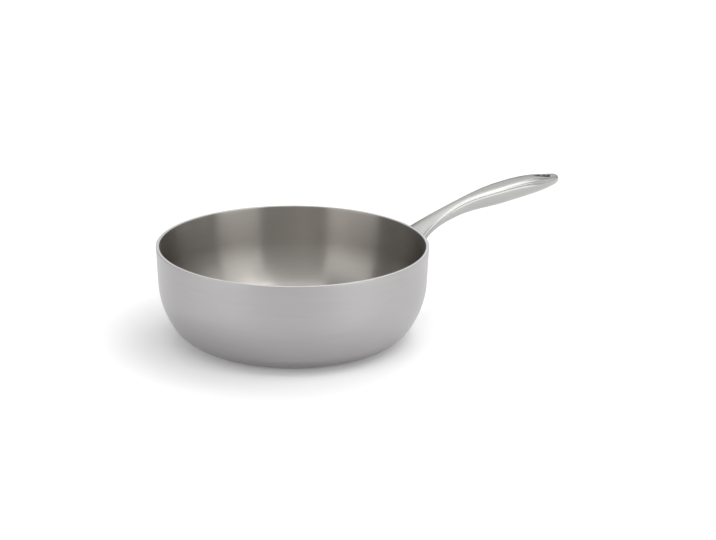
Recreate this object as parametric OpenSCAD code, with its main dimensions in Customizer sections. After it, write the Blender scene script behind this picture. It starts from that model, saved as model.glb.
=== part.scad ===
// Saucier pan with a bonded five-layer bowl and a welded hollow handle.
// Origin at the centre of the base underside, +Z up, +X along the handle.

/* [Bowl] */
// Outside diameter of the bowl at the rim
rim_d = 246; // [210:1:300]
// Height of the bowl
bowl_h = 86; // [72:1:110]
// Outward lean of the straight upper wall, in degrees
wall_lean = 2.2; // [0:0.1:5]
// Outside radius of the belly curve below the straight wall
belly_r = 76; // [60:1:90]
// Angle from upright at which the belly curve meets the heel curve
belly_end = 34; // [28:1:42]
// Outside radius of the heel curve that turns into the base
heel_r = 31; // [22:1:40]
// Radius that breaks the outer and the inner edge of the cut rim
rim_break = 0.3; // [0.1:0.05:0.4]

/* [Layers] */
// Thickness of the magnetic steel layer on the outside
outer_ply = 0.5; // [0.4:0.05:0.8]
// Thickness of each pure aluminium bonding layer
bond_ply = 0.25; // [0.15:0.05:0.4]
// Thickness of the aluminium core
core_ply = 1.5; // [1:0.1:2.5]
// Thickness of the stainless cooking surface
inner_ply = 0.5; // [0.4:0.05:0.8]

/* [Handle length] */
// Length of the handle along X, from its root station to its tip
handle_len = 180; // [150:1:210]
// Depth of the root station inside the rim's outer radius
root_inset = 2; // [1:0.5:3]
// Share of the length at which the flared throat ends
throat_at = 0.13; // [0.1:0.01:0.18]
// Share of the length at which the neck is thinnest
neck_at = 0.3; // [0.25:0.01:0.4]
// Share of the length at which the grip is fullest
grip_at = 0.62; // [0.55:0.01:0.7]
// Share of the length at which the hanging eye sits
eye_at = 0.9; // [0.86:0.01:0.92]

/* [Handle rise of the parting line above the rim] */
// At the root, which lies below the rim
root_rise = -18.9; // [-24:0.1:-14]
// At the throat
throat_rise = -4.8; // [-10:0.1:0]
// At the neck
neck_rise = 6.9; // [2:0.1:14]
// At the grip
grip_rise = 18.9; // [12:0.1:28]
// At the hanging eye
eye_rise = 21.3; // [14:0.1:34]
// At the tip
tip_rise = 20.8; // [12:0.1:36]

/* [Handle width] */
// Across the root
root_w = 40.8; // [34:0.1:50]
// Across the throat
throat_w = 25; // [20:0.5:32]
// Across the neck
neck_w = 15.2; // [13:0.1:20]
// Across the grip
grip_w = 25; // [21:0.5:30]
// Across the hanging eye
eye_w = 23; // [20:0.5:27]
// Across the tip, before it is rounded off
tip_w = 11; // [9:0.5:16]

/* [Handle height above the parting line] */
// At the root
root_crown = 4.3; // [3:0.1:6]
// At the throat
throat_crown = 3.7; // [3:0.1:6]
// At the neck
neck_crown = 4.9; // [3:0.1:6]
// At the grip
grip_crown = 5.8; // [4:0.1:7]
// At the hanging eye
eye_crown = 6.2; // [4:0.1:8]
// At the tip
tip_crown = 5; // [4:0.1:7]

/* [Handle depth below the parting line] */
// At the root
root_keel = 6.4; // [5:0.1:9]
// At the throat
throat_keel = 6.2; // [5:0.1:9]
// At the neck
neck_keel = 7.8; // [6:0.1:11]
// At the grip
grip_keel = 12.8; // [10:0.1:15]
// At the hanging eye
eye_keel = 7.2; // [5:0.1:9]
// At the tip
tip_keel = 2.6; // [2:0.1:6]

/* [Handle form] */
// Squareness of the section above the parting line, up to the grip
crown_square = 3; // [2.2:0.1:4]
// The same from the hanging eye to the tip, where the top is domed
tip_square = 2.2; // [2:0.1:3]
// Squareness of the section below the parting line
keel_square = 2.2; // [2:0.1:3]
// Length over which the tip is rounded in plan
tip_round = 11; // [8:0.5:16]
// Length over which the tip is rounded in side view
tip_ease = 6; // [4:0.5:9]
// Wall of the two pressed handle shells
shell_t = 1.2; // [1:0.1:1.5]
// Half angle of the seam weld, seen from the middle of the section
seam_angle = 3; // [2:0.5:5]

/* [Handle joints] */
// Length of the solid foot between the root station and the shells
foot_len = 14; // [11:0.5:18]
// Length of the foot's spigot inside the shells
spigot_len = 9; // [6:0.5:14]
// Radius of the weld bead round the foot
bead_r = 1.8; // [1.2:0.1:2.4]

/* [Hanging eye] */
// Diameter of the round end of the eye
eye_d = 13; // [9:0.5:14]
// Diameter of the narrow end of the eye
eye_tail_d = 3; // [2:0.5:4]
// Distance between the centres of the two ends
eye_tail = 12; // [9:0.5:15]
// Wall of the liner in the eye
liner_t = 1; // [0.8:0.1:1.4]
// Depth of the dish pressed round the eye
dish_depth = 1.1; // [0.2:0.1:1.2]
// Half length of that dish
dish_len = 9; // [6:0.5:14]
// Half width of that dish
dish_w = 7; // [5:0.5:9]

/* [Hidden] */
bowl_fn = 192;
seat_fn = 720;
overcut = 1;

// Depth of each layer boundary below the outside surface.
depth_1 = outer_ply;
depth_2 = depth_1 + bond_ply;
depth_3 = depth_2 + core_ply;
depth_4 = depth_3 + bond_ply;
depth_5 = depth_4 + inner_ply;

// Bowl outline: a straight wall, a belly arc and a heel arc, each tangent to the next.
rim_r = rim_d / 2;
wall_len = (bowl_h - belly_r * (sin(belly_end) - sin(wall_lean))
    - heel_r * (1 - sin(belly_end))) / cos(wall_lean);
wall_foot = [rim_r - wall_len * sin(wall_lean), bowl_h - wall_len * cos(wall_lean)];
belly_centre = wall_foot + belly_r * [-cos(wall_lean), sin(wall_lean)];
heel_centre = belly_centre + (belly_r - heel_r) * [cos(belly_end), -sin(belly_end)];

// Stations along the handle, from the root to the tip.
root_x = rim_r - root_inset;
station_at = [0, throat_at, neck_at, grip_at, eye_at, 1];
station_rise = [root_rise, throat_rise, neck_rise, grip_rise, eye_rise, tip_rise];
station_half_w = [root_w, throat_w, neck_w, grip_w, eye_w, tip_w] / 2;
station_crown = [root_crown, throat_crown, neck_crown, grip_crown, eye_crown, tip_crown];
station_keel = [root_keel, throat_keel, neck_keel, grip_keel, eye_keel, tip_keel];
station_square = [for (at = station_at) at < eye_at ? crown_square : tip_square];
last = len(station_at) - 1;

// Rings along each loft, points round each half of a section, and where the lofts begin and end.
rings = 56;
foot_rings = 12;
spigot_rings = 8;
liner_rings = 24;
crown_steps = 14;
keel_steps = 16;
tip_crowding = 1.35;
slope_step = 0.001;
smallest_tip = 0.12;
inner_start = -0.06;
foot_end = foot_len / handle_len;
spigot_end = (foot_len + spigot_len) / handle_len;
tip_share = 0.85;
liner_start = 0.75;
eye_x = root_x + handle_len * eye_at;
through = 60;

function gap(v, i) = v[i + 1] - v[i];
function rate(v, i) = gap(v, i) / gap(station_at, i);
function knot_slope(v, i) =
    i == 0 ? rate(v, 0)
    : i == last ? rate(v, last - 1)
    : (rate(v, i - 1) * gap(station_at, i) + rate(v, i) * gap(station_at, i - 1))
        / (gap(station_at, i) + gap(station_at, i - 1));
function span_of(u, i = 0) = i >= last - 1 || u < station_at[i + 1] ? i : span_of(u, i + 1);
function cubic(v, i, t) =
    let (h = gap(station_at, i))
    (2 * t ^ 3 - 3 * t ^ 2 + 1) * v[i]
    + (t ^ 3 - 2 * t ^ 2 + t) * h * knot_slope(v, i)
    + (3 * t ^ 2 - 2 * t ^ 3) * v[i + 1]
    + (t ^ 3 - t ^ 2) * h * knot_slope(v, i + 1);
// Value of a station list at share u of the length, straight on towards the bowl below zero.
function along(v, u) =
    u < 0 ? v[0] + knot_slope(v, 0) * u
    : let (i = span_of(u)) cubic(v, i, (u - station_at[i]) / gap(station_at, i));

function signed_power(x, p) = sign(x) * abs(x) ^ p;
// Share of the full section left at distance d from the tip, rounded over a length.
function tip_fade(d, length) =
    let (q = 1 - min(max(d / length, 0), 1))
    max(sqrt(1 - q * q), smallest_tip);
function dish(u, side) =
    let (x = handle_len * (u - eye_at) / dish_len, y = side / dish_w)
    dish_depth * exp(-(x * x + y * y));

// Point of the handle surface at share u and section angle a, with a wall of t taken off.
function handle_point(u, a, t = 0) =
    let (
        from_tip = handle_len * (1 - u),
        plan = tip_fade(from_tip, tip_round),
        side_view = tip_fade(from_tip, tip_ease),
        upper = sin(a) >= 0,
        square = 2 / (upper ? along(station_square, u) : keel_square),
        height = (along(upper ? station_crown : station_keel, u) - t) * side_view,
        side = (along(station_half_w, u) - t) * plan * signed_power(cos(a), square),
        lift = height * signed_power(sin(a), square)
            - (upper ? sin(a) * dish(u, side) * side_view : 0),
        pull_back = t * max(u - tip_share, 0) / (1 - tip_share),
        slope = (along(station_rise, u + slope_step) - along(station_rise, u - slope_step))
            / (2 * slope_step * handle_len),
        tilt = atan(slope)
    )
    [
        root_x + handle_len * u - pull_back - sin(tilt) * lift,
        side,
        bowl_h + along(station_rise, u) + cos(tilt) * lift
    ];

// Shares of the length for the rings, closer together towards the rounded tip.
function ring_list(from, to, count) =
    [for (i = [0 : count]) from + (to - from) * (1 - (1 - i / count) ^ tip_crowding)];
function even_list(from, to, count) = [for (i = [0 : count]) from + (to - from) * i / count];

crown_angles = even_list(seam_angle, 180 - seam_angle, crown_steps);
keel_angles = even_list(180 + seam_angle, 360 - seam_angle, keel_steps);
whole_angles = concat([0], crown_angles, [180], keel_angles);
foot_shares = even_list(inner_start, foot_end, foot_rings);
shell_shares = ring_list(foot_end, 1, rings);

// Solid between the outer and the inner handle surface, over a range of section angles.
module curved_slab(shares, angles) {
    n = len(angles);
    m = len(shares);
    outer = [for (u = shares) for (a = angles) handle_point(u, a)];
    inner = [for (u = shares) for (a = angles) handle_point(u, a, shell_t)];
    k = n * m;
    skin = [
        for (i = [0 : m - 2]) for (j = [0 : n - 2])
            let (p = i * n + j) [p, p + n, p + n + 1, p + 1]
    ];
    lining = [for (f = skin) [f[3] + k, f[2] + k, f[1] + k, f[0] + k]];
    long_edges = [
        for (i = [0 : m - 2])
            let (p = i * n, q = p + n - 1)
            each [[p, p + k, p + n + k, p + n], [q + n, q + n + k, q + k, q]]
    ];
    end_edges = [
        for (j = [0 : n - 2])
            let (p = j, q = (m - 1) * n + j)
            each [[p + 1, p + 1 + k, p + k, p], [q, q + k, q + 1 + k, q + 1]]
    ];
    polyhedron(concat(outer, inner), concat(skin, lining, long_edges, end_edges), convexity = 6);
}

// Closed loft through whole sections, with a wall of t taken off.
function section_middle(u, t) = (handle_point(u, 0, t) + handle_point(u, 180, t)) / 2;
module solid_loft(shares, t = 0) {
    n = len(whole_angles);
    m = len(shares);
    surface = [for (u = shares) for (a = whole_angles) handle_point(u, a, t)];
    middles = [section_middle(shares[0], t), section_middle(shares[m - 1], t)];
    skin = [
        for (i = [0 : m - 2]) for (j = [0 : n - 1])
            let (p = i * n, q = (j + 1) % n) [p + j, p + n + j, p + n + q, p + q]
    ];
    near_cap = [for (j = [0 : n - 1]) [n * m, j, (j + 1) % n]];
    far_cap = [for (j = [0 : n - 1]) let (p = (m - 1) * n) [n * m + 1, p + (j + 1) % n, p + j]];
    polyhedron(concat(surface, middles), concat(skin, near_cap, far_cap), convexity = 6);
}

// Half outline of the filled bowl, with a skin of depth d taken off the outside.
module bowl_outline(d, top = bowl_h) {
    belly_top = belly_centre + (belly_r - d) * [cos(wall_lean), -sin(wall_lean)];
    belly_foot = belly_centre + (belly_r - d) * [cos(belly_end), -sin(belly_end)];
    top_r = rim_r - d / cos(wall_lean) + (top - bowl_h) * tan(wall_lean);
    polygon([[0, belly_top[1]], belly_top, [top_r, top], [0, top]]);
    intersection() {
        translate(belly_centre) circle(belly_r - d, $fn = bowl_fn);
        translate([0, belly_foot[1]]) square([rim_d, belly_top[1] - belly_foot[1]]);
    }
    translate([0, d]) square([heel_centre[0], belly_foot[1] - d]);
    intersection() {
        translate(heel_centre) circle(heel_r - d, $fn = bowl_fn);
        translate([heel_centre[0], d]) square([rim_d, belly_foot[1] - d]);
    }
}

module filled_bowl(top) {
    rotate_extrude($fn = seat_fn) bowl_outline(0, top);
}

// Corner taken off the rim at depth d, on the outer side or, with side = -1, the inner one.
module rim_corner(d, side = 1) {
    x = rim_r - d / cos(wall_lean);
    centre = [
        x - rim_break * tan(wall_lean) - side * rim_break / cos(wall_lean),
        bowl_h - rim_break
    ];
    difference() {
        translate([min(centre[0], centre[0] + side * overcut), centre[1]])
            square([overcut, rim_break + overcut]);
        translate(centre) circle(rim_break, $fn = 48);
    }
}

module ply(d_outside, d_inside, break_outside = false, break_inside = false) {
    rotate_extrude($fn = bowl_fn)
        difference() {
            bowl_outline(d_outside);
            bowl_outline(d_inside, bowl_h + overcut);
            if (break_outside) rim_corner(d_outside);
            if (break_inside) rim_corner(d_inside, -1);
        }
}

module magnetic_outer_ply() {
    color([0.66, 0.66, 0.67])
        ply(0, depth_1, break_outside = true);
}

module lower_bonding_ply() {
    color([0.80, 0.81, 0.83])
        ply(depth_1, depth_2);
}

module aluminium_core_ply() {
    color([0.76, 0.77, 0.79])
        ply(depth_2, depth_3);
}

module upper_bonding_ply() {
    color([0.80, 0.81, 0.83])
        ply(depth_3, depth_4);
}

module cooking_surface_ply() {
    color([0.60, 0.58, 0.55])
        ply(depth_4, depth_5, break_inside = true);
}

// Teardrop outline of the eye, its round end towards the tip, grown outwards by t.
module eye_outline(t = 0) {
    translate([eye_x, 0])
        hull() {
            circle(eye_d / 2 + t, $fn = 48);
            translate([-eye_tail, 0]) circle(eye_tail_d / 2 + t, $fn = 32);
        }
}

module eye_column(t = 0) {
    translate([0, 0, bowl_h + eye_rise - through / 2])
        linear_extrude(through) eye_outline(t);
}

module handle_foot() {
    color([0.78, 0.79, 0.80])
        difference() {
            union() {
                solid_loft(foot_shares);
                solid_loft(even_list(foot_end / 2, spigot_end, spigot_rings), shell_t);
            }
            filled_bowl(bowl_h + overcut);
        }
}

// Share of the length at which the handle surface meets the bowl wall, found by halving.
function wall_r(z) = rim_r - (bowl_h - z) * tan(wall_lean);
function seat_share(a, low, high, n = 14) =
    let (mid = (low + high) / 2, p = handle_point(mid, a))
    n == 0 ? mid
    : norm([p[0], p[1]]) < wall_r(p[2]) ? seat_share(a, mid, high, n - 1)
    : seat_share(a, low, mid, n - 1);

// Round bead along the line where the foot meets the wall.
module bead_ring(r, sides = 10) {
    seat = [for (a = whole_angles) handle_point(seat_share(a, inner_start, foot_end), a)];
    n = len(seat);
    points = [
        for (i = [0 : n - 1])
            let (
                run = seat[(i + 1) % n] - seat[(i + n - 1) % n],
                ahead = run / norm(run),
                out = [seat[i][0], seat[i][1], 0] / norm([seat[i][0], seat[i][1]]),
                across = cross(ahead, out) / norm(cross(ahead, out)),
                up = cross(across, ahead)
            )
            for (k = [0 : sides - 1])
                seat[i] + r * (cos(360 * k / sides) * across + sin(360 * k / sides) * up)
    ];
    faces = [
        for (i = [0 : n - 1]) for (k = [0 : sides - 1])
            let (p = i * sides, q = ((i + 1) % n) * sides, s = (k + 1) % sides)
            [p + k, q + k, q + s, p + s]
    ];
    polyhedron(points, faces, convexity = 6);
}

module foot_weld_bead() {
    color([0.70, 0.70, 0.70])
        difference() {
            bead_ring(bead_r);
            solid_loft(foot_shares);
            filled_bowl(bowl_h + overcut);
        }
}

module pressed_shell(angles) {
    difference() {
        curved_slab(shell_shares, angles);
        eye_column(liner_t);
    }
}

module handle_lower_shell() {
    color([0.74, 0.75, 0.73])
        pressed_shell(keel_angles);
}

module handle_upper_shell() {
    color([0.80, 0.81, 0.83])
        pressed_shell(crown_angles);
}

module handle_seam_welds() {
    color([0.77, 0.78, 0.79]) {
        curved_slab(shell_shares, [-seam_angle, 0, seam_angle]);
        curved_slab(shell_shares, [180 - seam_angle, 180, 180 + seam_angle]);
    }
}

module hanging_eye_liner() {
    color([0.62, 0.62, 0.62])
        intersection() {
            difference() {
                eye_column(liner_t);
                eye_column();
            }
            solid_loft(ring_list(liner_start, 1, liner_rings));
        }
}

magnetic_outer_ply();
lower_bonding_ply();
aluminium_core_ply();
upper_bonding_ply();
cooking_surface_ply();
handle_foot();
foot_weld_bead();
handle_lower_shell();
handle_upper_shell();
handle_seam_welds();
hanging_eye_liner();
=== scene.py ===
"""Visual model of a saucier pan: lathed layered bowl, lofted hollow handle, brushed and polished steel."""

import math

import bmesh
import bpy
from mathutils import Matrix, Vector


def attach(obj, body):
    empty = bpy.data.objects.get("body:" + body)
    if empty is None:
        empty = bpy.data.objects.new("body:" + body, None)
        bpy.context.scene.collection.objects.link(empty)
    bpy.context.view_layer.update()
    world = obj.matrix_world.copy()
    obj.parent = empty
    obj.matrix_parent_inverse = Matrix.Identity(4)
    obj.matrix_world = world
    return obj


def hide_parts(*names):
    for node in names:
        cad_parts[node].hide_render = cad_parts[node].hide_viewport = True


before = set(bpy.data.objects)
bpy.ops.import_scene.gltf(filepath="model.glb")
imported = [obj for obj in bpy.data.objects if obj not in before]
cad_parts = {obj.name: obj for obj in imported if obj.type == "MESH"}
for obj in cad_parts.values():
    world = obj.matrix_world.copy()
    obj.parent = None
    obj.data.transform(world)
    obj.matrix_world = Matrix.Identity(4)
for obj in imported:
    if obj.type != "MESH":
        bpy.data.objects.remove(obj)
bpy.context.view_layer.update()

MM = 0.001

# Bowl sizes, as in the part's source
RIM_R = 123 * MM
BOWL_H = 86 * MM
WALL_LEAN = math.radians(2.2)
BELLY_R = 76 * MM
BELLY_END = math.radians(34)
HEEL_R = 31 * MM
RIM_BREAK = 0.3 * MM
PLY_DEPTHS = [0, 0.5 * MM, 0.75 * MM, 2.25 * MM, 2.5 * MM, 3 * MM]
PLY_NODES = [
    "magnetic_outer_ply",
    "lower_bonding_ply",
    "aluminium_core_ply",
    "upper_bonding_ply",
    "cooking_surface_ply",
]

# Handle sizes in millimetres, as in the part's source. The lists hold a value for each of the six
# stations from root to tip: places as shares of the length, heights, half widths, and how square
# the upper half of the section is.
HANDLE_LEN = 180
ROOT_X = 121
EYE_AT = 0.9
STATION_AT = [0, 0.13, 0.3, 0.62, EYE_AT, 1]
STATION_RISE = [-18.9, -4.8, 6.9, 18.9, 21.3, 20.8]
STATION_HALF_W = [20.4, 12.5, 7.6, 12.5, 11.5, 5.5]
STATION_CROWN = [4.3, 3.7, 4.9, 5.8, 6.2, 5]
STATION_KEEL = [6.4, 6.2, 7.8, 12.8, 7.2, 2.6]
STATION_SQUARE = [3, 3, 3, 3, 2.2, 2.2]
KEEL_SQUARE = 2.2
TIP_ROUND = 11
TIP_EASE = 6
SMALLEST_TIP = 0.12
PULL_BACK_FROM = 0.85
SHELL_T = 1.2
SEAM_ANGLE = 3
FOOT_LEN = 14
FOOT_END = FOOT_LEN / HANDLE_LEN
SEAT_SEARCH_FROM = -0.06
SLOPE_STEP = 0.001
EYE_X = ROOT_X + HANDLE_LEN * EYE_AT
EYE_R = 6.5
EYE_TAIL_R = 1.5
EYE_TAIL = 12
EYE_ROUND = 0.4
EYE_CUTTER_ENDS = [BOWL_H - 20 * MM, BOWL_H + 60 * MM]
LINER_T = 1
DISH_DEPTH = 1.1
DISH_LEN = 9
DISH_W = 7

# Welds, in millimetres. The bead swells and shrinks round the foot by two waves.
TIP_WELD_LEN = 2
BEAD_R = 1.8
BEAD_WAVES = [(0.05, 2.4), (0.03, 0.9)]
BEAD_HOLLOW = 0.3
BEAD_BITE = 0.2

# Fineness of the meshes
MERGE_DISTANCE = 1e-7
BOWL_SEGMENTS = 256
HANDLE_RINGS = 190
HALF_SECTION_STEPS = 56
SEAM_STEPS = 6
FOOT_SECTION_STEPS = 120
FOOT_RINGS = 16
SADDLE_SHARES = [0.02, 0.35, 0.7]
TIP_WELD_RINGS = 4
BEAD_STEPS = 8
EYE_STEPS = 96
LINER_STEPS = 8

# Studio, in metres and in shares of full white
FLOOR_HALF = 14
FLOOR_TONE = 0.93
FLOOR_ROUGHNESS = 0.9
FLOOR_SHEEN = 0.1
NEAR_GLOW, FAR_GLOW = 0.10, 0.60
GLOW_FROM, GLOW_TO = 0.5, 1.6
WORLD_TONE = 0.502
LAMP_AIM = Vector((0, 0, 0.06))
LAMP_DISTANCE = 1.6
WATTS_PER_AREA = 10

# Softboxes: name, azimuth and elevation in degrees, width and height in metres, brightness.
# Azimuth 0 is behind the pan as the camera sees it, and 90 is on its right.
SOFTBOXES = [
    ("high_back_right", 36, 61, 0.70, 1.02, 0.52),
    ("low_front_left", 236, 9, 1.52, 1.20, 0.48),
    ("low_front_right", 126, 8, 1.22, 1.14, 0.50),
    ("right", 74, 23, 1.25, 1.20, 0.21),
    ("high_back", 355, 56, 1.34, 1.20, 0.35),
    ("high_right", 105, 59, 0.95, 0.80, 0.73),
    ("back_strip", 15, 26, 1.60, 0.45, 0.15),
    ("high_front_strip", 180, 69, 1.30, 0.30, 0.90),
]

# Finish of the metals, the same for all of them
TONE_VARIATION = 0.04
ACROSS_THE_LINES = 0.25
BROAD_SHARE = 0.6
CLOUD_SCALE = 18
NOISE_LOW, NOISE_HIGH = 0.3, 0.7
BUMP_STRENGTH = 0.3
AXIS_GUARD = 0.0005

# The camera that fits the rim's ellipse and the outlines of bowl and handle in the photograph
IMAGE_W = 716
FOCAL_PX = 1700
SENSOR_W = 36
SIGHT_LIMIT = 50
CAMERA_PITCH = math.radians(18.26)
CAMERA_ROLL = math.radians(0.76)
HANDLE_AZIMUTH = math.radians(32)
RIM_CENTRE_IN_CAMERA = Vector((-58.7, -24.2, 1534.2)) * MM


def add_camera():
    """Places the camera from where it sees the centre of the rim."""
    c, s = math.cos(CAMERA_PITCH), math.sin(CAMERA_PITCH)
    cr, sr = math.cos(CAMERA_ROLL), math.sin(CAMERA_ROLL)
    level_right = Vector((1, 0, 0))
    level_down = Vector((0, -s, -c))
    forward = Vector((0, c, -s))
    right = cr * level_right - sr * level_down
    down = sr * level_right + cr * level_down
    see = Matrix((right, down, forward))
    turn = Matrix.Rotation(-HANDLE_AZIMUTH, 3, "Z")
    place = turn @ (-(see.transposed() @ RIM_CENTRE_IN_CAMERA)) + Vector((0, 0, BOWL_H))
    axes = [turn @ right, turn @ -down, turn @ -forward]
    data = bpy.data.cameras.new("camera")
    data.sensor_width = SENSOR_W
    data.lens = FOCAL_PX / IMAGE_W * SENSOR_W
    data.clip_end = SIGHT_LIMIT
    camera = bpy.data.objects.new("camera", data)
    camera.matrix_world = Matrix.Translation(place) @ Matrix(axes).transposed().to_4x4()
    bpy.context.collection.objects.link(camera)
    bpy.context.scene.camera = camera


def new_object(name, verts, faces, smooth=True):
    """A mesh object from points in metres, with its normals facing outwards."""
    mesh = bpy.data.meshes.new(name)
    mesh.from_pydata(verts, [], faces)
    work = bmesh.new()
    work.from_mesh(mesh)
    bmesh.ops.remove_doubles(work, verts=work.verts, dist=MERGE_DISTANCE)
    bmesh.ops.recalc_face_normals(work, faces=work.faces)
    work.to_mesh(mesh)
    work.free()
    obj = bpy.data.objects.new(name, mesh)
    bpy.context.collection.objects.link(obj)
    for face in mesh.polygons:
        face.use_smooth = smooth
    return obj


def sharpen(obj, angle=35):
    """Keeps edges crisp where two faces meet at more than the angle."""
    mesh = obj.data
    work = bmesh.new()
    work.from_mesh(mesh)
    limit = math.radians(angle)
    for edge in work.edges:
        edge.smooth = len(edge.link_faces) == 2 and edge.calc_face_angle(0) < limit
    work.to_mesh(mesh)
    work.free()


# Bowl

def bowl_curve(depth, base_steps=14, arc_step=math.radians(3), wall_steps=10):
    """Outline of the bowl at a depth below its outside surface, from the axis to the rim."""
    ca, sa = math.cos(WALL_LEAN), math.sin(WALL_LEAN)
    arcs_high = BELLY_R * (math.sin(BELLY_END) - sa) + HEEL_R * (1 - math.sin(BELLY_END))
    wall_len = (BOWL_H - arcs_high) / ca
    wall_foot = (RIM_R - wall_len * sa, BOWL_H - wall_len * ca)
    belly = (wall_foot[0] - BELLY_R * ca, wall_foot[1] + BELLY_R * sa)
    heel_gap = BELLY_R - HEEL_R
    heel = (belly[0] + heel_gap * math.cos(BELLY_END), belly[1] - heel_gap * math.sin(BELLY_END))
    points = [(heel[0] * i / base_steps, depth) for i in range(base_steps)]
    arcs = [
        (heel, HEEL_R - depth, math.pi / 2, BELLY_END),
        (belly, BELLY_R - depth, BELLY_END, WALL_LEAN),
    ]
    for centre, radius, start, end in arcs:
        steps = max(4, round((start - end) / arc_step))
        for i in range(steps):
            a = start + (end - start) * i / steps
            points.append((centre[0] + radius * math.cos(a), centre[1] - radius * math.sin(a)))
    low = (belly[0] + (BELLY_R - depth) * ca, belly[1] - (BELLY_R - depth) * sa)
    high = (RIM_R - depth / ca, BOWL_H)
    for i in range(wall_steps + 1):
        t = i / wall_steps
        points.append((low[0] + (high[0] - low[0]) * t, low[1] + (high[1] - low[1]) * t))
    return points


def broken_edge(curve, side, steps=5):
    """The curve with its rim point replaced by a small round that ends on the flat of the rim."""
    top_r = curve[-1][0]
    corner = []
    for i in range(steps + 1):
        a = math.pi / 2 * i / steps
        corner.append((
            top_r - side * RIM_BREAK * (1 - math.cos(a)),
            BOWL_H - RIM_BREAK * (1 - math.sin(a)),
        ))
    return curve[:-1] + corner


def lathe(name, outline, segments=BOWL_SEGMENTS):
    """Revolves an outline that starts and ends on the axis."""
    verts = []
    rings = []
    for r, z in outline:
        if r < MERGE_DISTANCE:
            rings.append([len(verts)] * segments)
            verts.append((0, 0, z))
            continue
        rings.append([len(verts) + i for i in range(segments)])
        for i in range(segments):
            a = 2 * math.pi * i / segments
            verts.append((r * math.cos(a), r * math.sin(a), z))
    faces = []
    for low, high in zip(rings, rings[1:]):
        for i in range(segments):
            j = (i + 1) % segments
            corners = [low[i], low[j], high[j], high[i]]
            face = [v for k, v in enumerate(corners) if v != corners[k - 1]]
            faces.append(face)
    return new_object(name, verts, faces)


def add_ply(node, index, material, slot):
    """One layer of the bowl. The outermost and the innermost have the broken edges of the rim."""
    outside = bowl_curve(PLY_DEPTHS[index])
    inside = bowl_curve(PLY_DEPTHS[index + 1])
    if index == 0:
        outside = broken_edge(outside, 1)
    if index == len(PLY_NODES) - 1:
        inside = broken_edge(inside, -1)
    piece = lathe(node + "_skin", outside + inside[::-1])
    sharpen(piece)
    dress(piece, material, slot, node)


# Handle

def knot_slope(values, i):
    """Slope of a station list at one of its stations."""
    def rate(k):
        return (values[k + 1] - values[k]) / (STATION_AT[k + 1] - STATION_AT[k])
    last = len(STATION_AT) - 1
    if i == 0:
        return rate(0)
    if i == last:
        return rate(last - 1)
    before = STATION_AT[i] - STATION_AT[i - 1]
    after = STATION_AT[i + 1] - STATION_AT[i]
    return (rate(i - 1) * after + rate(i) * before) / (before + after)


def along(values, u):
    """Value of a station list at share u of the handle's length."""
    if u < 0:
        return values[0] + knot_slope(values, 0) * u
    i = 0
    while i < len(STATION_AT) - 2 and u >= STATION_AT[i + 1]:
        i += 1
    h = STATION_AT[i + 1] - STATION_AT[i]
    t = (u - STATION_AT[i]) / h
    rise = 3 * t ** 2 - 2 * t ** 3
    return (
        (1 - rise) * values[i]
        + (t ** 3 - 2 * t ** 2 + t) * h * knot_slope(values, i)
        + rise * values[i + 1]
        + (t ** 3 - t ** 2) * h * knot_slope(values, i + 1)
    )


def signed_power(x, p):
    """Power of the size of a number, with its sign kept."""
    return math.copysign(abs(x) ** p, x)


def tip_fade(distance, length):
    """Factor that rounds a section off over a length before the tip."""
    q = 1 - min(max(distance / length, 0), 1)
    return max(math.sqrt(1 - q * q), SMALLEST_TIP)


def dish(u, side):
    """Depth of the shallow hollow round the eye."""
    x = HANDLE_LEN * (u - EYE_AT) / DISH_LEN
    y = side / DISH_W
    return DISH_DEPTH * math.exp(-(x * x + y * y))


def handle_point(u, degrees, wall=0):
    """Point of the handle's surface in millimetres, with a wall thickness taken off."""
    a = math.radians(degrees)
    from_tip = HANDLE_LEN * (1 - u)
    plan = tip_fade(from_tip, TIP_ROUND)
    side_view = tip_fade(from_tip, TIP_EASE)
    upper = math.sin(a) >= 0
    square = 2 / (along(STATION_SQUARE, u) if upper else KEEL_SQUARE)
    height = (along(STATION_CROWN if upper else STATION_KEEL, u) - wall) * side_view
    side = (along(STATION_HALF_W, u) - wall) * plan * signed_power(math.cos(a), square)
    lift = height * signed_power(math.sin(a), square)
    if upper:
        lift -= math.sin(a) * dish(u, side) * side_view
    pull_back = wall * max(u - PULL_BACK_FROM, 0) / (1 - PULL_BACK_FROM)
    slope = along(STATION_RISE, u + SLOPE_STEP) - along(STATION_RISE, u - SLOPE_STEP)
    tilt = math.atan(slope / (2 * SLOPE_STEP * HANDLE_LEN))
    return Vector((
        ROOT_X + HANDLE_LEN * u - pull_back - math.sin(tilt) * lift,
        side,
        BOWL_H / MM + along(STATION_RISE, u) + math.cos(tilt) * lift,
    ))


def crowded(start, end, count, crowding=1.35):
    """Steps from start to end that grow closer towards the end."""
    return [start + (end - start) * (1 - (1 - i / count) ** crowding) for i in range(count + 1)]


def even(start, end, count):
    """Even steps from start to end."""
    return [start + (end - start) * i / count for i in range(count + 1)]


CROWN_ANGLES = even(SEAM_ANGLE, 180 - SEAM_ANGLE, HALF_SECTION_STEPS)
KEEL_ANGLES = even(180 + SEAM_ANGLE, 360 - SEAM_ANGLE, HALF_SECTION_STEPS)
NEAR_SEAM_ANGLES = even(-SEAM_ANGLE, SEAM_ANGLE, SEAM_STEPS)
FAR_SEAM_ANGLES = even(180 - SEAM_ANGLE, 180 + SEAM_ANGLE, SEAM_STEPS)
FOOT_ANGLES = even(0, 360, FOOT_SECTION_STEPS)[:-1]


def tube_faces(rows, n):
    """Faces of a tube with n points in each of its rows."""
    return [
        (i * n + j, i * n + (j + 1) % n, (i + 1) * n + (j + 1) % n, (i + 1) * n + j)
        for i in range(rows - 1) for j in range(n)
    ]


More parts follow.
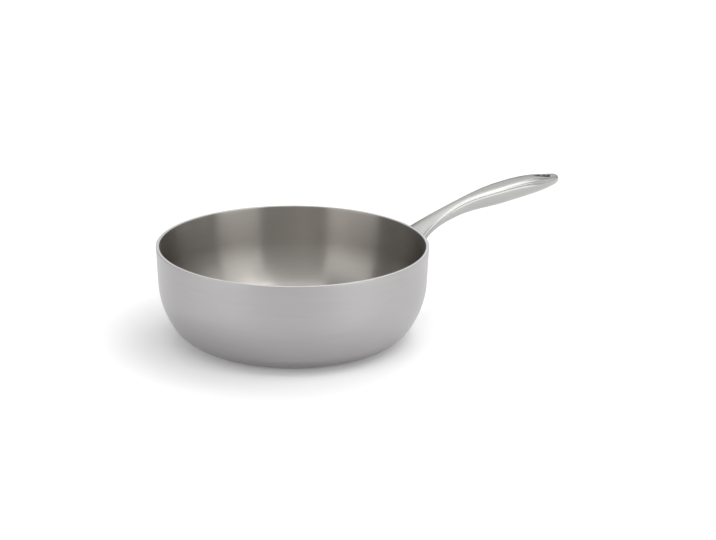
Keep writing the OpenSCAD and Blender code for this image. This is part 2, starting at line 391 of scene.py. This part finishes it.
def curved_slab(name, shares, angles):
    """Closed shell between the outer and inner handle surfaces over a range of angles."""
    n, m = len(angles), len(shares)
    verts = [handle_point(u, a) * MM for u in shares for a in angles]
    verts += [handle_point(u, a, SHELL_T) * MM for u in shares for a in angles]
    k = n * m
    faces = []
    for i in range(m - 1):
        for j in range(n - 1):
            p = i * n + j
            faces.append((p, p + n, p + n + 1, p + 1))
            faces.append((p + k, p + k + 1, p + k + n + 1, p + k + n))
        for p in (i * n, i * n + n - 1):
            faces.append((p, p + k, p + n + k, p + n))
    for p in (0, (m - 1) * n):
        for j in range(n - 1):
            faces.append((p + j, p + j + 1, p + j + 1 + k, p + j + k))
    return new_object(name, verts, faces)


def eye_distance(x, y):
    """Distance in millimetres from a point in plan to the edge of the teardrop eye, outside positive."""
    px, py = abs(y), EYE_X - x
    b = (EYE_R - EYE_TAIL_R) / EYE_TAIL
    a = math.sqrt(1 - b * b)
    k = -b * px + a * py
    if k < 0:
        return math.hypot(px, py) - EYE_R
    if k > a * EYE_TAIL:
        return math.hypot(px, py - EYE_TAIL) - EYE_TAIL_R
    return a * px + b * py - EYE_R


def eye_drop(distance):
    """How far the surface rolls into the eye at a distance from its edge."""
    q = max(EYE_ROUND - max(distance, 0), 0)
    return EYE_ROUND - math.sqrt(EYE_ROUND ** 2 - q * q)


def eye_outline(grow, count=EYE_STEPS):
    """Points in plan round the teardrop, grown outwards."""
    lean = math.asin((EYE_R - EYE_TAIL_R) / EYE_TAIL)
    points = []
    big, small = EYE_R + grow, EYE_TAIL_R + grow
    start, end = -math.pi / 2 - lean, math.pi / 2 + lean
    big_steps = count * 2 // 3
    small_steps = count - big_steps
    for i in range(big_steps + 1):
        a = start + (end - start) * i / big_steps
        points.append((EYE_X + big * math.cos(a), big * math.sin(a)))
    for i in range(small_steps + 1):
        a = end + (2 * math.pi - end + start) * i / small_steps
        points.append((EYE_X - EYE_TAIL + small * math.cos(a), small * math.sin(a)))
    return points


def surface_z(x, y, upper, rounds=6):
    """Height of the handle's outer surface over a point in plan, found by correcting the share."""
    u = (x - ROOT_X) / HANDLE_LEN
    for _ in range(rounds):
        square = along(STATION_SQUARE, u) if upper else KEEL_SQUARE
        half = along(STATION_HALF_W, u) * tip_fade(HANDLE_LEN * (1 - u), TIP_ROUND)
        cosine = min(abs(y) / half, 1) ** (square / 2)
        a = math.degrees(math.acos(cosine))
        point = handle_point(u, a if upper else -a)
        u += (x - point.x) / HANDLE_LEN
    return point.z


def cut_eye(piece):
    """Cuts the liner's outline through a shell, then rolls the surface round it inwards."""
    outline = eye_outline(LINER_T)
    n = len(outline)
    verts = [(x * MM, y * MM, z) for z in EYE_CUTTER_ENDS for x, y in outline]
    faces = [(i, (i + 1) % n, n + (i + 1) % n, n + i) for i in range(n)]
    faces += [tuple(range(n)), tuple(range(n, 2 * n))]
    cutter = new_object("eye_cutter", verts, faces, smooth=False)
    cut = piece.modifiers.new("eye", "BOOLEAN")
    cut.object = cutter
    cut.operation = "DIFFERENCE"
    cut.solver = "EXACT"
    depsgraph = bpy.context.evaluated_depsgraph_get()
    mesh = bpy.data.meshes.new_from_object(piece.evaluated_get(depsgraph))
    piece.modifiers.clear()
    piece.data = mesh
    bpy.data.objects.remove(cutter)
    sign = 1 if piece.name.startswith("handle_upper") else -1
    for v in mesh.vertices:
        v.co.z -= sign * eye_drop(eye_distance(v.co.x / MM, v.co.y / MM)) * MM


def add_liner(material):
    """Tube that lines the eye, rolled over at both ends to meet the shells."""
    sections = [(LINER_T * (1 - k / LINER_STEPS), True) for k in range(LINER_STEPS + 1)]
    sections += [(LINER_T * k / LINER_STEPS, False) for k in range(LINER_STEPS + 1)]
    sections.append(sections[0])
    verts = []
    for grow, upper in sections:
        drop = -eye_drop(grow) if upper else eye_drop(grow)
        verts += [Vector((x, y, surface_z(x, y, upper) + drop)) * MM for x, y in eye_outline(grow)]
    faces = tube_faces(len(sections), len(eye_outline(0)))
    piece = new_object("hanging_eye_liner_skin", verts, faces)
    sharpen(piece, angle=50)
    dress(piece, material, "handle_steel", "hanging_eye_liner")


def wall_r(z):
    """Radius of the bowl's outside at a height, in millimetres."""
    return RIM_R / MM - (BOWL_H / MM - z) * math.tan(WALL_LEAN)


def seat_share(a, rounds=30):
    """Share of the length at which the handle's surface meets the bowl's wall."""
    low, high = SEAT_SEARCH_FROM, FOOT_END
    for _ in range(rounds):
        mid = (low + high) / 2
        p = handle_point(mid, a)
        if math.hypot(p.x, p.y) < wall_r(p.z):
            low = mid
        else:
            high = mid
    return (low + high) / 2


def onto_wall(p):
    """The point moved straight out from the axis, or in, to the bowl's outside."""
    scale = wall_r(p.z) / math.hypot(p.x, p.y)
    return Vector((p.x * scale, p.y * scale, p.z))


def add_foot(material):
    """Solid foot: its surface from the wall to the shells, a saddle face and a flat end."""
    seats = [seat_share(a) for a in FOOT_ANGLES]
    rows = [
        [handle_point(s + (FOOT_END - s) * k / FOOT_RINGS, a) for s, a in zip(seats, FOOT_ANGLES)]
        for k in range(FOOT_RINGS + 1)
    ]
    middle = sum(rows[0], Vector()) / len(rows[0])
    rows = [[onto_wall(middle.lerp(p, share)) for p in rows[0]] for share in SADDLE_SHARES] + rows
    n = len(FOOT_ANGLES)
    verts = [p * MM for row in rows for p in row]
    faces = tube_faces(len(rows), n)
    faces += [tuple(range(n)), tuple(range((len(rows) - 1) * n, len(rows) * n))]
    piece = new_object("handle_foot_skin", verts, faces)
    sharpen(piece, angle=40)
    dress(piece, material, "handle_steel", "handle_foot")


def add_weld_bead(material):
    """Fillet of weld between the wall and the foot, all the way round."""
    seats = [seat_share(a) for a in FOOT_ANGLES]
    line = [handle_point(s, a) for s, a in zip(seats, FOOT_ANGLES)]
    n = len(line)
    verts = []
    for i in range(n):
        seat = line[i]
        run = (line[(i + 1) % n] - line[i - 1]).normalized()
        out = Vector((seat.x, seat.y, 0)).normalized()
        away = run.cross(out).normalized()
        middle = Vector((seat.x, 0, line[0].z))
        if away.dot(seat - middle) < 0:
            away = -away
        reach = BEAD_R * (1 + sum(height * math.sin(i * rate) for height, rate in BEAD_WAVES))
        on_wall = onto_wall(seat + away * reach)
        on_foot = handle_point(seats[i] + reach / HANDLE_LEN, FOOT_ANGLES[i])
        bend = seat + BEAD_HOLLOW * ((on_wall - seat) + (on_foot - seat))
        verts.append((seat - out * BEAD_BITE) * MM)
        for k in range(BEAD_STEPS + 1):
            t = k / BEAD_STEPS
            p = (1 - t) ** 2 * on_wall + 2 * t * (1 - t) * bend + t ** 2 * on_foot
            verts.append(p * MM)
    side = BEAD_STEPS + 2
    verts += verts[:side]
    faces = tube_faces(n + 1, side)
    piece = new_object("foot_weld_bead_skin", verts, faces)
    sharpen(piece, angle=60)
    dress(piece, material, "weld_steel", "foot_weld_bead")


def tip_weld(name):
    """Spot of weld that fills the end of the hollow where the two seam lines meet."""
    start = 1 - TIP_WELD_LEN / HANDLE_LEN
    sections = [(u, SHELL_T) for u in even(start, 1, TIP_WELD_RINGS)] + [(1, 0)]
    n = len(FOOT_ANGLES)
    verts = [handle_point(u, a, wall) * MM for u, wall in sections for a in FOOT_ANGLES]
    last = (len(sections) - 1) * n
    faces = tube_faces(len(sections), n)
    faces += [tuple(range(n)), tuple(range(last, last + n))]
    return new_object(name, verts, faces)


def join(name, parts):
    """One object from several, by copying their meshes together."""
    work = bmesh.new()
    for part in parts:
        work.from_mesh(part.data)
        bpy.data.objects.remove(part)
    mesh = bpy.data.meshes.new(name)
    work.to_mesh(mesh)
    work.free()
    obj = bpy.data.objects.new(name, mesh)
    bpy.context.collection.objects.link(obj)
    return obj


def add_handle(polished, weld):
    """The hollow handle: two shells, the seam welds, the eye's liner, the foot and its weld."""
    shares = crowded(FOOT_END, 1, HANDLE_RINGS)
    upper = curved_slab("handle_upper_shell_skin", shares, CROWN_ANGLES)
    lower = curved_slab("handle_lower_shell_skin", shares, KEEL_ANGLES)
    for piece, node in ((upper, "handle_upper_shell"), (lower, "handle_lower_shell")):
        cut_eye(piece)
        sharpen(piece, angle=50)
        dress(piece, polished, "handle_steel", node)
    near = curved_slab("near_seam", shares, NEAR_SEAM_ANGLES)
    far = curved_slab("far_seam", shares, FAR_SEAM_ANGLES)
    seams = join("handle_seam_welds_skin", [near, far, tip_weld("tip_spot")])
    sharpen(seams, angle=50)
    dress(seams, weld, "weld_steel", "handle_seam_welds")
    add_liner(polished)
    add_foot(polished)
    add_weld_bead(weld)


# Materials

def math_node(tree, operation, first, second=None):
    """Result of a sum on sockets or numbers."""
    node = tree.nodes.new("ShaderNodeMath")
    node.operation = operation
    for socket, value in zip(node.inputs, (first, second)):
        if value is None:
            continue
        if isinstance(value, (int, float)):
            socket.default_value = value
        else:
            tree.links.new(value, socket)
    return node.outputs[0]


def object_coordinates(tree):
    """Place on the piece, in metres."""
    return tree.nodes.new("ShaderNodeTexCoord").outputs["Object"]


def ring_coordinates(tree, around, across):
    """Coordinates that change slowly round the Z axis and fast along the bowl's outline."""
    split = tree.nodes.new("ShaderNodeSeparateXYZ")
    tree.links.new(object_coordinates(tree), split.inputs[0])
    x, y, z = split.outputs
    square = math_node(tree, "ADD", math_node(tree, "MULTIPLY", x, x), math_node(tree, "MULTIPLY", y, y))
    radius = math_node(tree, "MAXIMUM", math_node(tree, "SQRT", square), AXIS_GUARD)
    combine = tree.nodes.new("ShaderNodeCombineXYZ")
    values = [
        (math_node(tree, "DIVIDE", x, radius), around),
        (math_node(tree, "DIVIDE", y, radius), around),
        (math_node(tree, "ADD", radius, z), across),
    ]
    for socket, (value, scale) in zip(combine.inputs, values):
        tree.links.new(math_node(tree, "MULTIPLY", value, scale), socket)
    return combine.outputs[0]


def map_range(tree, value, before, after, kind="LINEAR"):
    """Maps the values between two limits onto the range between two others."""
    node = tree.nodes.new("ShaderNodeMapRange")
    node.interpolation_type = kind
    for name, limit in zip(("From Min", "From Max", "To Min", "To Max"), (*before, *after)):
        node.inputs[name].default_value = limit
    tree.links.new(value, node.inputs["Value"])
    return node.outputs[0]


def spread(tree, value, low, high):
    """Maps a noise value round its middle onto a range."""
    return map_range(tree, value, (NOISE_LOW, NOISE_HIGH), (low, high))


def fade_to(tree, value, low, high):
    """Two tones mixed by a value."""
    mix = tree.nodes.new("ShaderNodeMix")
    mix.data_type = "RGBA"
    first, second = [socket for socket in mix.inputs if socket.type == "RGBA"]
    first.default_value = (*low, 1)
    second.default_value = (*high, 1)
    tree.links.new(value, mix.inputs["Factor"])
    return [socket for socket in mix.outputs if socket.type == "RGBA"][0]


def noise(tree, vector, detail, scale=1):
    """Value of a noise texture at a coordinate."""
    node = tree.nodes.new("ShaderNodeTexNoise")
    node.inputs["Scale"].default_value = scale
    node.inputs["Detail"].default_value = detail
    tree.links.new(vector, node.inputs["Vector"])
    return node.outputs["Fac"]


def steel(name, colour, roughness, variation, anisotropy, line_depth, fine, broad):
    """Metal with brush lines. fine and broad make the coordinates of its two sizes of line."""
    material = bpy.data.materials.new(name)
    material.use_nodes = True
    tree = material.node_tree
    shader = tree.nodes["Principled BSDF"]
    shader.inputs["Metallic"].default_value = 1
    lines = noise(tree, fine(tree), detail=3)
    bands = noise(tree, broad(tree), detail=2)
    cloud = noise(tree, object_coordinates(tree), detail=3, scale=CLOUD_SCALE)
    total = roughness
    for value, share in ((lines, 1), (bands, BROAD_SHARE), (cloud, BROAD_SHARE)):
        part = spread(tree, value, -share * variation, share * variation)
        total = math_node(tree, "ADD", part, total)
    tree.links.new(total, shader.inputs["Roughness"])
    low = [c * (1 - TONE_VARIATION) for c in colour]
    high = [c * (1 + TONE_VARIATION) for c in colour]
    tone = math_node(tree, "MULTIPLY", math_node(tree, "ADD", bands, cloud), 0.5)
    tree.links.new(fade_to(tree, spread(tree, tone, 0, 1), low, high), shader.inputs["Base Color"])
    bump = tree.nodes.new("ShaderNodeBump")
    bump.inputs["Strength"].default_value = BUMP_STRENGTH
    bump.inputs["Distance"].default_value = line_depth
    tree.links.new(lines, bump.inputs["Height"])
    tree.links.new(bump.outputs["Normal"], shader.inputs["Normal"])
    if anisotropy:
        shader.inputs["Anisotropic"].default_value = anisotropy
        shader.inputs["Anisotropic Rotation"].default_value = ACROSS_THE_LINES
        tangent = tree.nodes.new("ShaderNodeTangent")
        tangent.direction_type = "RADIAL"
        tangent.axis = "Z"
        tree.links.new(tangent.outputs[0], shader.inputs["Tangent"])
    return material


def rings(around, across):
    """Maker of coordinates for lines that run round the bowl."""
    return lambda tree: ring_coordinates(tree, around, across)


def along_handle(lengthwise, crosswise):
    """Maker of coordinates for lines that run along the handle."""
    def build(tree):
        stretch = tree.nodes.new("ShaderNodeMapping")
        stretch.inputs["Scale"].default_value = (lengthwise, crosswise, crosswise)
        tree.links.new(object_coordinates(tree), stretch.inputs["Vector"])
        return stretch.outputs[0]
    return build


def dress(piece, material, slot, *nodes):
    """Gives a piece its material, hangs it on the root body and hides the nodes that it replaces."""
    piece.data.materials.clear()
    piece.data.materials.append(material)
    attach(piece, "root")
    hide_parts(*nodes)


# Studio

def add_floor():
    """Pale floor that reads as a white background and keeps the shadow. It glows where the lamps fade."""
    corners = [(-1, -1), (1, -1), (1, 1), (-1, 1)]
    floor = new_object("floor", [(x * FLOOR_HALF, y * FLOOR_HALF, 0) for x, y in corners], [(0, 1, 2, 3)])
    material = bpy.data.materials.new("floor_white")
    material.use_nodes = True
    tree = material.node_tree
    shader = tree.nodes["Principled BSDF"]
    shader.inputs["Base Color"].default_value = (FLOOR_TONE, FLOOR_TONE, FLOOR_TONE, 1)
    shader.inputs["Roughness"].default_value = FLOOR_ROUGHNESS
    shader.inputs["Specular IOR Level"].default_value = FLOOR_SHEEN
    shader.inputs["Emission Color"].default_value = (1, 1, 1, 1)
    path = tree.nodes.new("ShaderNodeLightPath")
    seen = math_node(tree, "MAXIMUM", path.outputs["Is Camera Ray"], path.outputs["Is Glossy Ray"])
    seen = math_node(tree, "MAXIMUM", seen, path.outputs["Is Transmission Ray"])
    away = tree.nodes.new("ShaderNodeVectorMath")
    away.operation = "LENGTH"
    tree.links.new(object_coordinates(tree), away.inputs[0])
    distance = away.outputs["Value"]
    glow = map_range(tree, distance, (GLOW_FROM, GLOW_TO), (NEAR_GLOW, FAR_GLOW), kind="SMOOTHSTEP")
    tree.links.new(math_node(tree, "MULTIPLY", seen, glow), shader.inputs["Emission Strength"])
    floor.data.materials.append(material)


def add_softbox(name, azimuth, elevation, width, height, brightness):
    """Area lamp aimed at the pan."""
    a, e = math.radians(azimuth), math.radians(elevation)
    towards = Vector((math.sin(a) * math.cos(e), math.cos(a) * math.cos(e), math.sin(e)))
    towards = Matrix.Rotation(-HANDLE_AZIMUTH, 3, "Z") @ towards
    data = bpy.data.lights.new(name, "AREA")
    data.shape = "RECTANGLE"
    data.size, data.size_y = width, height
    data.energy = WATTS_PER_AREA * width * height * brightness
    lamp = bpy.data.objects.new(name, data)
    turn = towards.to_track_quat("Z", "Y").to_matrix().to_4x4()
    lamp.matrix_world = Matrix.Translation(LAMP_AIM + towards * LAMP_DISTANCE) @ turn
    bpy.context.collection.objects.link(lamp)


def add_lights():
    """Grey world and eight softboxes, set so that the tones match the photograph's."""
    world = bpy.data.worlds.new("studio")
    world.use_nodes = True
    back = world.node_tree.nodes["Background"]
    back.inputs["Color"].default_value = (WORLD_TONE, WORLD_TONE, WORLD_TONE, 1)
    bpy.context.scene.world = world
    for softbox in SOFTBOXES:
        add_softbox(*softbox)


def set_view():
    """Plain display of colours, without a film curve."""
    bpy.context.scene.view_settings.view_transform = "Standard"


outer_steel = steel(
    "outer_steel", (0.397, 0.388, 0.388), roughness=0.36, variation=0.03,
    anisotropy=0.5, line_depth=0.01 * MM, fine=rings(3, 3600), broad=rings(2, 350),
)
inner_steel = steel(
    "inner_steel", (0.441, 0.419, 0.393), roughness=0.3, variation=0.01,
    anisotropy=0.95, line_depth=0.0008 * MM, fine=rings(3, 4500), broad=rings(2, 350),
)
cut_aluminium = steel(
    "cut_aluminium", (0.66, 0.66, 0.67), roughness=0.34, variation=0.03,
    anisotropy=0, line_depth=0.01 * MM, fine=rings(3, 3000), broad=rings(2, 350),
)
polished = steel(
    "polished_handle", (0.399, 0.399, 0.388), roughness=0.24, variation=0.01,
    anisotropy=0, line_depth=0.003 * MM, fine=along_handle(60, 2400), broad=along_handle(15, 200),
)
weld = steel(
    "ground_weld", (0.399, 0.399, 0.390), roughness=0.23, variation=0.02,
    anisotropy=0, line_depth=0.003 * MM, fine=along_handle(60, 2400), broad=along_handle(15, 200),
)

for ply_index, ply_node in enumerate(PLY_NODES):
    if ply_index == 0:
        add_ply(ply_node, ply_index, outer_steel, "outer_steel")
    elif ply_index == len(PLY_NODES) - 1:
        add_ply(ply_node, ply_index, inner_steel, "inner_steel")
    else:
        add_ply(ply_node, ply_index, cut_aluminium, "aluminium")

add_handle(polished, weld)
add_floor()
add_lights()
add_camera()
set_view()
